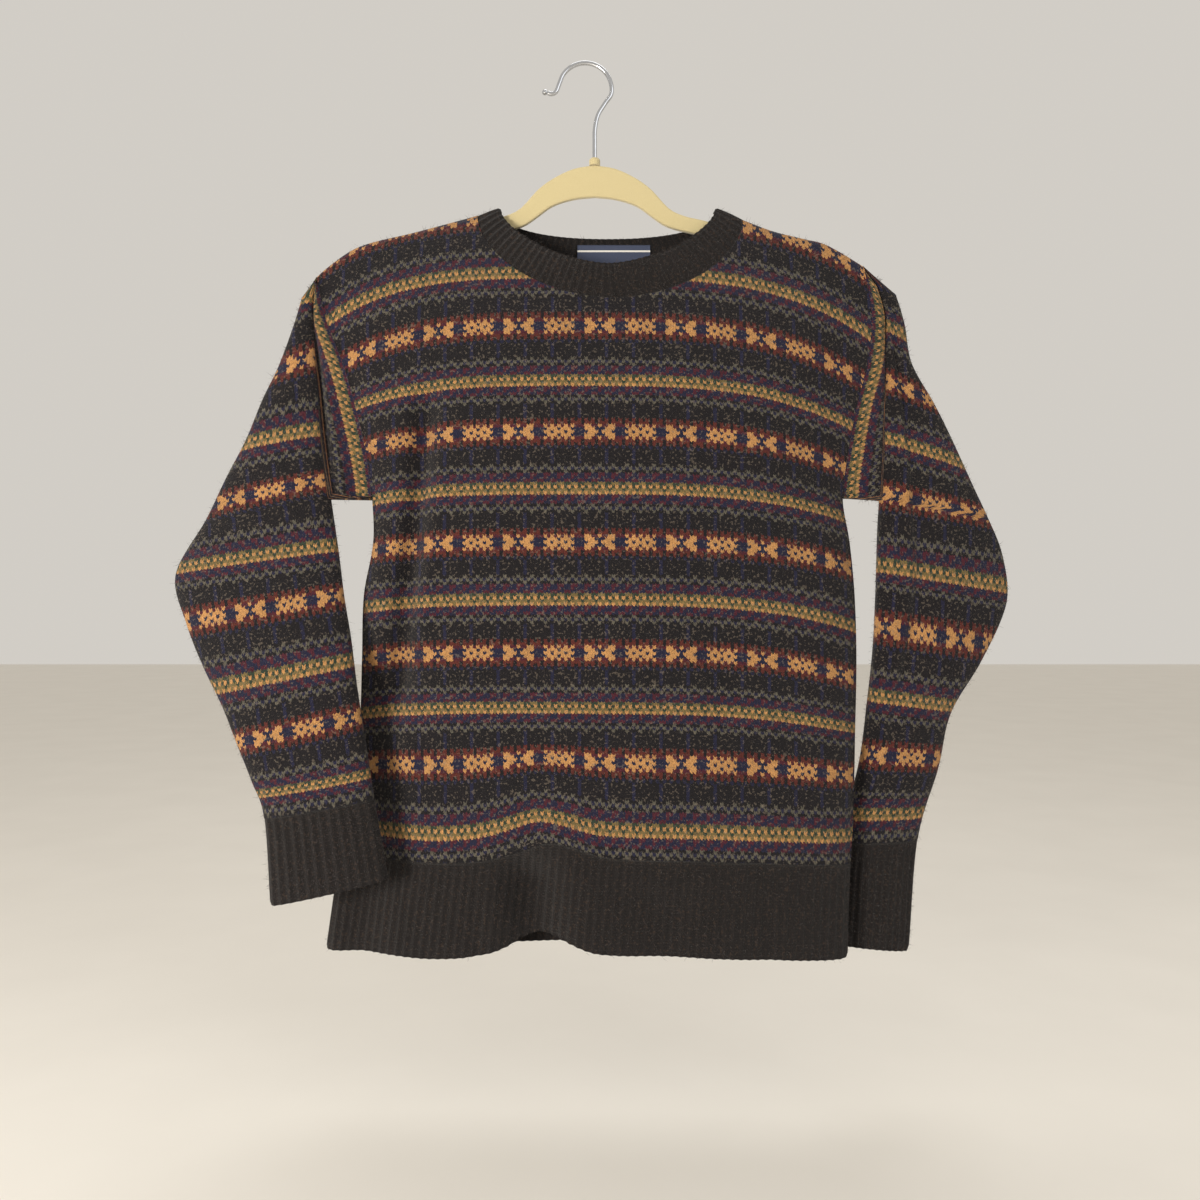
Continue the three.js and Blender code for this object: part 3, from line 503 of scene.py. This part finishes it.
def neckTurnList():
    first = [0, 1, 2.3, 4, 6.3, 9.5, 13, 18, 24, 30, 37, 44, 52, 61, 70, 80]
    return first + [90] + [180 - turn for turn in reversed(first)]


def patternRow(x, drop, panel):
    ribTop = tableAt(panel["hem"], x) - ribHeight
    near = smoothStep((drop - 600) / 130)
    away = (x + 20) / np.where(x < -20, 212, 278)
    archLeft, archRight = tableAt(archDrops, drop, 1), tableAt(archDrops, drop, 2)
    arch = np.where(x < -20, archLeft, archRight) * np.abs(away) ** 3.5
    level = drop - arch * (1 - near) - (ribTop - 735) * near
    slope = 1 / gauge["row"]
    above = np.minimum(level - 146, 0) * slope
    return tableAt(bodyRows, level) + above


def makePanel(name, panel):
    shoulder, armRows, lowRows = 26, 56, 96
    starts = []
    for i in range(shoulder):
        x = shoulderLine[0][0] + (neckLeft - shoulderLine[0][0]) * i / shoulder
        starts.append((x, float(ridgeDrop(np.array(x)))))
    for turn in neckTurnList():
        across, deep = scoopTurn(turn, panel["roundness"])
        x = neckLeft + (neckRight - neckLeft) * across
        starts.append((x, float(ridgeDrop(np.array(x))) + panel["neckDepth"] * deep))
    for i in range(1, shoulder + 1):
        x = neckRight + (shoulderLine[-1][0] - neckRight) * i / shoulder
        starts.append((x, float(ridgeDrop(np.array(x)))))
    starts = np.array(starts)
    columns = len(starts)
    even = np.linspace(0, 1, columns)
    left, right = levelAt("left", starts[:, 1]), levelAt("right", starts[:, 1])
    atTop = (starts[:, 0] - left) / (right - left)
    atTop[0], atTop[-1] = 0, 1
    hemX = levelAt("left", 818.0) * (1 - even) + levelAt("right", 818.0) * even
    ribTop = tableAt(panel["hem"], hemX) - ribHeight
    drops, shares = [], []
    for down in (0, 0.3, 0.8, 1.5, 2.5, 4, 5.5, capHeight):
        drops.append(starts[:, 1] + down)
        shares.append(0)
    for i in range(1, armRows + 1):
        share = i / armRows
        drops.append((starts[:, 1] + capHeight) * (1 - share) + underarmDrop * share)
        shares.append(share)
    for i in range(1, lowRows + 1):
        drops.append(underarmDrop + (ribTop - underarmDrop) * i / lowRows)
        shares.append(1)
    drops = np.array(drops)
    spread = smoothStep(np.array(shares))[:, None]
    across = atTop[None, :] * (1 - spread) + even[None, :] * spread
    points = panelPoints(panel, across, drops)
    uv = np.stack([points[..., 0] / gauge["stitch"], patternRow(points[..., 0], drops, panel)], axis=-1)
    piece = clothShell(name, points, uv, flip=panel["facing"] > 0)
    piece.data.materials.append(bandedKnit)
    return piece


ribs = {"pitch": 8.0, "perRib": 6, "height": 1.1}


def ribRelief(columns, rows, fadeTop=0.0):
    phase = np.arange(columns) / ribs["perRib"] * 2 * math.pi
    wave = np.cos(phase) * 0.7 + np.cos(2 * phase) * 0.12
    strength = np.ones(rows)
    if fadeTop:
        strength = smoothStep(np.linspace(0, 1, rows) / fadeTop + 0.25)
    return ribs["height"] * (wave[None, :] - 0.6) * strength[:, None]


def makeHem(name, panel):
    rows = 26
    columns = 62 * ribs["perRib"] + 1
    even = np.linspace(0, 1, columns)
    hemX = levelAt("left", 818.0) * (1 - even) + levelAt("right", 818.0) * even
    hem = tableAt(panel["hem"], hemX)
    share = np.linspace(0, 1, rows)[:, None]
    drops = (hem - ribHeight)[None, :] + share * ribHeight
    points = panelPoints(panel, np.broadcast_to(even, drops.shape), drops)
    relief = ribRelief(columns, rows, 0.12) - 1.3 * smoothStep((share - 0.95) / 0.05)
    uv = np.stack([np.broadcast_to(hemX / gauge["stitch"], drops.shape), drops / gauge["row"]], axis=-1)
    piece = clothShell(name, points, uv, flip=panel["facing"] > 0, relief=relief)
    piece.data.materials.append(darkRib)
    return piece


frontCloth = makePanel("frontCloth", frontPanel)
backCloth = makePanel("backCloth", backPanel)
frontRib = makeHem("frontRib", frontPanel)
backRib = makeHem("backRib", backPanel)
print("body made")

# sleeves

sleeveShape = {"strip": 18, "tube": 60, "closing": 0.14, "ridge": 2.5, "boxiness": 0.8}
elbowCreases = [(6.6, 0.12, 2.2), (7.4, 0.12, 2.0), (8.3, 0.16, 1.6), (9.6, 0.2, 1.2)]


def stationAt(stations, at):
    return [curveThrough(np.arange(len(stations)), stations[:, i], at) for i in range(stations.shape[1])]


def tubePoints(stations, at, turns):
    outX, outDrop, inX, inDrop, middle, half, _, lap = stationAt(stations, at)
    angle = np.radians(turns)
    across = (1 - np.cos(angle)) / 2
    depth = np.abs(np.sin(angle)) ** sleeveShape["boxiness"] * np.sign(np.sin(angle))
    lapped = lap * smoothStep((across - 0.22) / 0.08) * np.clip(1 - across ** 4, 0, 1) ** 0.25
    crease = sum(deep * math.exp(-((at - where) / wide) ** 2) for where, wide, deep in elbowCreases)
    crease = crease * np.clip(across, 0, 1) * np.clip(np.sin(angle), 0, 1)
    y = middle - half * depth + np.where(turns < 180, lapped + crease, 0)
    return np.stack([inX + (outX - inX) * across, y, -(inDrop + (outDrop - inDrop) * across)], axis=-1)


def seamPoint(panel, side, share):
    x = shoulderLine[0][0] if side < 0 else shoulderLine[-1][0]
    top = float(ridgeDrop(np.array(float(x)))) + capHeight
    drop = np.array(top + (underarmDrop - top) * share)
    return panelPoints(panel, np.array(0.0 if side < 0 else 1.0), drop)


def makeSleeve(name, cuffName, stations, rowsAt, side):
    strip, tube = sleeveShape["strip"], sleeveShape["tube"]
    tubeTurns = np.concatenate([np.linspace(14, 180, tube), np.linspace(186, 334, tube // 2)])
    shares = np.linspace(0, 0.95, strip)
    openAts = np.linspace(0, 6, 60)
    points, uvs = [], []
    for at in openAts:
        outX, outDrop, inX, inDrop, middle, half, groove, _ = stationAt(stations, at)
        frontSeam, backSeam = seamPoint(frontPanel, side, at / 6), seamPoint(backPanel, side, at / 6)
        if at >= 6:
            frontSeam[1] = backSeam[1] = 0
        tubeRow = tubePoints(stations, at, tubeTurns)
        flat = middle + half
        tubeRow[tubeTurns > 270, 1] = flat
        inner = np.array([inX, 0, -inDrop])
        front = frontSeam + (inner - frontSeam) * shares[:, None]
        ridgeY = frontSeam[1] + (tubeRow[1, 1] - frontSeam[1]) * 0.35 - sleeveShape["ridge"]
        profile = [frontSeam[1], frontSeam[1] - 2, ridgeY, (ridgeY + groove) / 2, groove]
        front[:, 1] = curveThrough([0, 0.45, 0.72, 0.86, 0.95], profile, shares)
        back = backSeam + (inner - backSeam) * shares[:, None]
        back[:, 1] = backSeam[1] + (flat - backSeam[1]) * shares
        row = np.concatenate([front, tubeRow, back[::-1]])
        if at == 0:
            fold = smoothStep(np.abs(np.linspace(-1, 1, len(row))))
            x = shoulderLine[0][0] if side < 0 else shoulderLine[-1][0]
            top = float(ridgeDrop(np.array(float(x))))
            angle = np.linspace(0, math.pi, len(row))
            row = np.stack([np.full(len(row), x + side) - side * fold,
                            -7.3 * np.cos(angle), -(top + capHeight * (1 - np.sin(angle)))], axis=-1)
        points.append(row)
        stitchAcross = np.linalg.norm(tubeRow - tubeRow[0], axis=-1) / gauge["stitch"]
        stripV = seamRow + np.linalg.norm((front - front[0])[:, [0, 2]], axis=-1) / gauge["row"]
        stripU = np.full(strip, frontSeam[2] / gauge["stitch"])
        tubeV = np.full(len(tubeRow), float(tableAt(rowsAt, at)))
        uvs.append(np.stack([np.concatenate([stripU, stitchAcross, stripU]),
                             np.concatenate([stripV, tubeV, stripV[::-1]])], axis=-1))
    closedAts = np.concatenate([[6 + sleeveShape["closing"]], np.linspace(6.35, 13, 84)])
    ringTurns = np.concatenate([np.linspace(0, 13.5, strip), tubeTurns, np.linspace(340, 360, strip)])
    for at in closedAts:
        row = tubePoints(stations, at, ringTurns)
        points.append(row)
        stitchAcross = lengthAlong(row) / gauge["stitch"]
        uvs.append(np.stack([stitchAcross, np.full(len(row), float(tableAt(rowsAt, at)))], axis=-1))
    piece = clothShell(name, np.array(points), np.array(uvs), flip=side < 0, closedFrom=len(openAts))
    piece.data.materials.append(bandedKnit)
    rows, columns = 24, 26 * ribs["perRib"] + 1
    fine = np.linspace(0, 2 * math.pi, 721)
    ring = tubePoints(stations, 13.5, np.degrees(fine))
    length = lengthAlong(ring)
    turns = np.degrees(np.interp(np.linspace(0, length[-1], columns), length, fine))
    cuffPoints = np.array([tubePoints(stations, at, turns) for at in np.linspace(13, 14, rows)])
    share = np.linspace(0, 1, rows)[:, None]
    relief = ribRelief(columns, rows, 0.12) - 1.3 * smoothStep((share - 0.95) / 0.05)
    relief[:, -1] = relief[:, 0]
    uv = np.stack(np.broadcast_arrays(np.linspace(0, length[-1], columns)[None, :] / gauge["stitch"],
                                      share * 84 / gauge["row"]), axis=-1)
    cuff = clothShell(cuffName, cuffPoints, uv, flip=side < 0, ring=True, relief=relief)
    cuff.data.materials.append(darkRib)
    return piece, cuff


leftSleeve, leftCuff = makeSleeve("leftSleeve", "leftCuff", leftStations, leftRows, -1)
rightSleeve, rightCuff = makeSleeve("rightSleeve", "rightCuff", rightStations, rightRows, 1)
print("sleeves made")

# neckband and label

band = {"left": -80, "right": 123, "drop": 135, "standY": 6.5, "frontDepth": 62, "frontY": 35,
        "backDepth": 27, "backY": 8, "rows": 16, "ribCount": 84, "swell": 1.5, "height": 28}


def bandEnds(turn, isFront):
    panel = frontPanel if isFront else backPanel
    across, deep = scoopTurn(turn, panel["roundness"])
    x = neckLeft + (neckRight - neckLeft) * across
    drop = float(ridgeDrop(np.array(x))) + panel["neckDepth"] * deep
    left, right = float(levelAt("left", drop)), float(levelAt("right", drop))
    seam = panelPoints(panel, np.array((x - left) / (right - left)), np.array(drop))
    edgeAcross, edgeDeep = scoopTurn(turn, 1.6 if isFront else 2.2)
    below = (band["frontDepth"] if isFront else band["backDepth"]) * edgeDeep
    reach = band["frontY"] if isFront else band["backY"]
    stand = band["standY"] * float(roundOver(below)) + (reach - band["standY"]) * edgeDeep
    facing = -1 if isFront else 1
    edge = np.array([band["left"] + (band["right"] - band["left"]) * edgeAcross,
                     facing * stand, -(band["drop"] + below)])
    if turn in (0, 180):
        seam[1] = edge[1] = 0
    return edge, seam


def makeNeckband():
    fine = [(turn, True) for turn in np.linspace(0, 180, 241)]
    fine += [(180 - turn, False) for turn in np.linspace(0, 180, 241)[1:]]
    ends = [bandEnds(turn, isFront) for turn, isFront in fine]
    middle = np.array([(edge + seam) / 2 for edge, seam in ends])
    length = lengthAlong(middle)
    columns = band["ribCount"] * ribs["perRib"] + 1
    wanted = np.linspace(0, length[-1], columns)
    edges = np.array([edge for edge, _ in ends])
    seams = np.array([seam for _, seam in ends])

    def evenly(values):
        return np.stack([np.interp(wanted, length, values[:, i]) for i in range(3)], axis=-1)

    edgeLine, seamLine = evenly(edges), evenly(seams)
    share = np.linspace(0, 1, band["rows"])[:, None, None]
    points = edgeLine[None] * (1 - share) + seamLine[None] * share
    front = np.array([1.0 if isFront else -1.0 for _, isFront in fine])
    outward = np.interp(wanted, length, front)
    points[..., 1] -= band["swell"] * np.sin(math.pi * share[..., 0]) * outward[None, :]
    points[-1] = seamLine
    relief = np.tile(ribRelief(columns, 1), (band["rows"], 1))
    relief -= 1.2 * smoothStep((0.08 - share[..., 0]) / 0.08)
    relief[:, -1] = relief[:, 0]
    rowsDown = share[..., 0] * band["height"] / gauge["row"]
    uv = np.stack(np.broadcast_arrays(wanted[None, :] / gauge["stitch"], rowsDown), -1)
    piece = clothShell("neckbandRib", points, uv, ring=True, relief=relief, thickness=3.2)
    piece.data.materials.append(darkRib)
    return piece


def makeLabel():
    low, high = (np.array(corner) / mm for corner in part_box("neck_label"))
    columns, rows = 40, 16
    x = np.linspace(low[0], high[0], columns)
    z = np.linspace(high[2], low[2], rows)
    grid = np.stack(np.broadcast_arrays(x[None, :], np.full((1, 1), low[1]), z[:, None]), -1).copy()
    sag = np.sin(np.linspace(0, math.pi, columns))
    grid[..., 1] -= 0.5 * sag[None, :] * np.linspace(0, 1, rows)[:, None]
    uv = grid[..., [0, 2]] / gauge["stitch"]
    piece = clothShell("neckLabel", grid, uv, thickness=0.7)
    piece.data.materials.append(navyTape)
    piece.data.materials.append(whiteThread)
    stripe = ((high[2] - 7.2) * mm, (high[2] - 5.4) * mm)
    for face in piece.data.polygons:
        if stripe[0] < face.center.z < stripe[1]:
            face.material_index = 1
    return piece


neckbandRib = makeNeckband()
neckLabel = makeLabel()
print("neck made")

# hook

hookShape = {"wire": 2.1, "bow": 25, "centreX": 9, "lip": [(-27.6, 25.2), (-31.5, 27), (-35, 26.2)]}


def makeHook():
    bowDrop = hookShape["bow"] - hookShape["wire"]
    middle = hookShape["centreX"]
    route = [(middle, 89), (middle, 74), (middle + 0.2, 61), (middle + 3, 47.5), (middle + 9.5, 36.5)]
    for angle in np.radians(np.linspace(-10, 168, 9)):
        route.append((hookShape["bow"] * math.cos(angle), bowDrop - hookShape["bow"] * math.sin(angle)))
    route += hookShape["lip"]
    route = np.array(route)
    length = lengthAlong(route)
    curve = bpy.data.curves.new("hookRoute", "CURVE")
    curve.dimensions = "3D"
    curve.bevel_depth = hookShape["wire"] * mm
    curve.bevel_resolution = 6
    curve.use_fill_caps = True
    at = np.linspace(0, length[-1], 140)
    line = curve.splines.new("POLY")
    line.points.add(len(at) - 1)
    xs, drops = curveThrough(length, route[:, 0], at), curveThrough(length, route[:, 1], at)
    for point, x, drop in zip(line.points, xs, drops):
        point.co = (x * mm, 0, -drop * mm, 1)
    holder = bpy.data.objects.new("hookRoute", curve)
    bpy.context.collection.objects.link(holder)
    bpy.context.view_layer.update()
    mesh = bpy.data.meshes.new_from_object(holder.evaluated_get(bpy.context.evaluated_depsgraph_get()))
    bpy.data.objects.remove(holder)
    mesh.shade_smooth()
    piece = bpy.data.objects.new("hookWire", mesh)
    bpy.context.collection.objects.link(piece)
    piece.data.materials.clear()
    piece.data.materials.append(chrome)
    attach(piece, "root")
    return piece


hookWire = makeHook()
for name, material in (("hanger", flock), ("hanger_collar", flock), ("hook_tip", chrome)):
    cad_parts[name].material_slots[0].material = material
print("hanger made")

# loose fibres

fuzz = {"length": 0.0042, "width": 0.00011, "seed": 7}


def makeFuzz(name, source, count, material):
    rng = np.random.default_rng(fuzz["seed"])
    mesh = source.data
    centres = np.array([p.center[:] for p in mesh.polygons])
    normals = np.array([p.normal[:] for p in mesh.polygons])
    areas = np.array([p.area for p in mesh.polygons])
    half = len(mesh.polygons) // 2
    outer = np.arange(len(areas)) < half
    chance = np.where(outer, areas, 0)
    picked = rng.choice(len(areas), size=count, p=chance / chance.sum())
    jitter = rng.normal(0, 0.0012, (count, 3))
    root = centres[picked] + jitter - normals[picked] * (jitter * normals[picked]).sum(1, keepdims=True)
    lean = rng.normal(0, 0.75, (count, 3))
    way = normals[picked] + lean
    way /= np.linalg.norm(way, axis=1, keepdims=True)
    length = fuzz["length"] * rng.uniform(0.35, 1.2, (count, 1))
    curl = rng.normal(0, 0.35, (count, 3)) * length
    side = np.cross(way, rng.normal(0, 1, (count, 3)))
    side *= fuzz["width"] / np.maximum(np.linalg.norm(side, axis=1, keepdims=True), 1e-6)
    middle, tip = root + way * length * 0.5 + curl * 0.4, root + way * length + curl
    corners = [root - side, root + side, middle + side * 0.8, middle - side * 0.8, tip]
    verts = np.stack(corners, 1).reshape(-1, 3)
    base = np.arange(count)[:, None] * 5
    faces = (base + [0, 1, 2, 3]).tolist() + (base + [3, 2, 4]).tolist()
    made = bpy.data.meshes.new(name)
    made.from_pydata(verts.tolist(), [], faces)
    made.materials.append(material)
    piece = bpy.data.objects.new(name, made)
    bpy.context.collection.objects.link(piece)
    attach(piece, "root")
    return piece


looseFibre = plainMaterial("looseFibre", srgb(74, 62, 56), srgb(44, 38, 40), 700, 0.9, 0.1, sheen=0.3)
clothPieces = [(frontCloth, 16000), (backCloth, 12000), (leftSleeve, 9000), (rightSleeve, 9000),
               (frontRib, 4000), (backRib, 3000), (leftCuff, 2500), (rightCuff, 2500), (neckbandRib, 2600)]
for source, count in clothPieces:
    makeFuzz(source.name + "Fuzz", source, count, looseFibre)
print("fibres made")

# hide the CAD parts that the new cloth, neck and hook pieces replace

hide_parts("front")
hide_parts("back")
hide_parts("front_hem")
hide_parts("back_hem")
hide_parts("left_sleeve")
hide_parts("right_sleeve")
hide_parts("left_cuff")
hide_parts("right_cuff")
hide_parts("neckband")
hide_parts("neck_label")
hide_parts("hanger_hook")

# floor, light and camera

studio = {"floorDrop": 0.99, "floorSize": 14}


def makeStage():
    mesh = bpy.data.meshes.new("floor")
    size = studio["floorSize"] / 2
    corners = [(-size, -size, 0), (size, -size, 0), (size, size, 0), (-size, size, 0)]
    mesh.from_pydata(corners, [], [(0, 1, 2, 3)])
    floor = bpy.data.objects.new("floor", mesh)
    floor.location = (0, 0, -studio["floorDrop"])
    bpy.context.collection.objects.link(floor)
    mesh.materials.append(plainMaterial("paleFloor", srgb(238, 233, 224), srgb(230, 225, 216), 6, 0.7, 0.05))
    world = bpy.data.worlds.new("studio")
    bpy.context.scene.world = world
    world.use_nodes = True
    world.node_tree.nodes["Background"].inputs[0].default_value = srgb(238, 233, 225)
    world.node_tree.nodes["Background"].inputs[1].default_value = 0.75


def addLight(name, place, target, size, power, colour):
    data = bpy.data.lights.new(name, "AREA")
    data.size = size
    data.energy = power
    data.color = colour
    light = bpy.data.objects.new(name, data)
    light.location = place
    light.rotation_euler = (Vector(target) - Vector(place)).to_track_quat("-Z", "Y").to_euler()
    bpy.context.collection.objects.link(light)


makeStage()
middle = (0.0, 0.0, -0.5)
addLight("key", (-1.1, -1.5, -0.55), middle, 0.5, 32, (1, 0.96, 0.9))
addLight("fill", (1.4, -1.6, 0.3), middle, 1.6, 10, (0.93, 0.96, 1))
addLight("top", (0.2, 0.6, 1.3), middle, 1.2, 9, (1, 1, 1))
camera = bpy.data.cameras.new("camera")
camera.lens = 31.8
camera.sensor_width = 36
camera.clip_start = 0.01
view = bpy.data.objects.new("camera", camera)
view.location = (0.014, -1.0, -0.5045)
view.rotation_euler = (math.radians(90), 0, 0)
bpy.context.collection.objects.link(view)
bpy.context.scene.camera = view
bpy.context.scene.view_settings.view_transform = "Standard"
print("studio made")
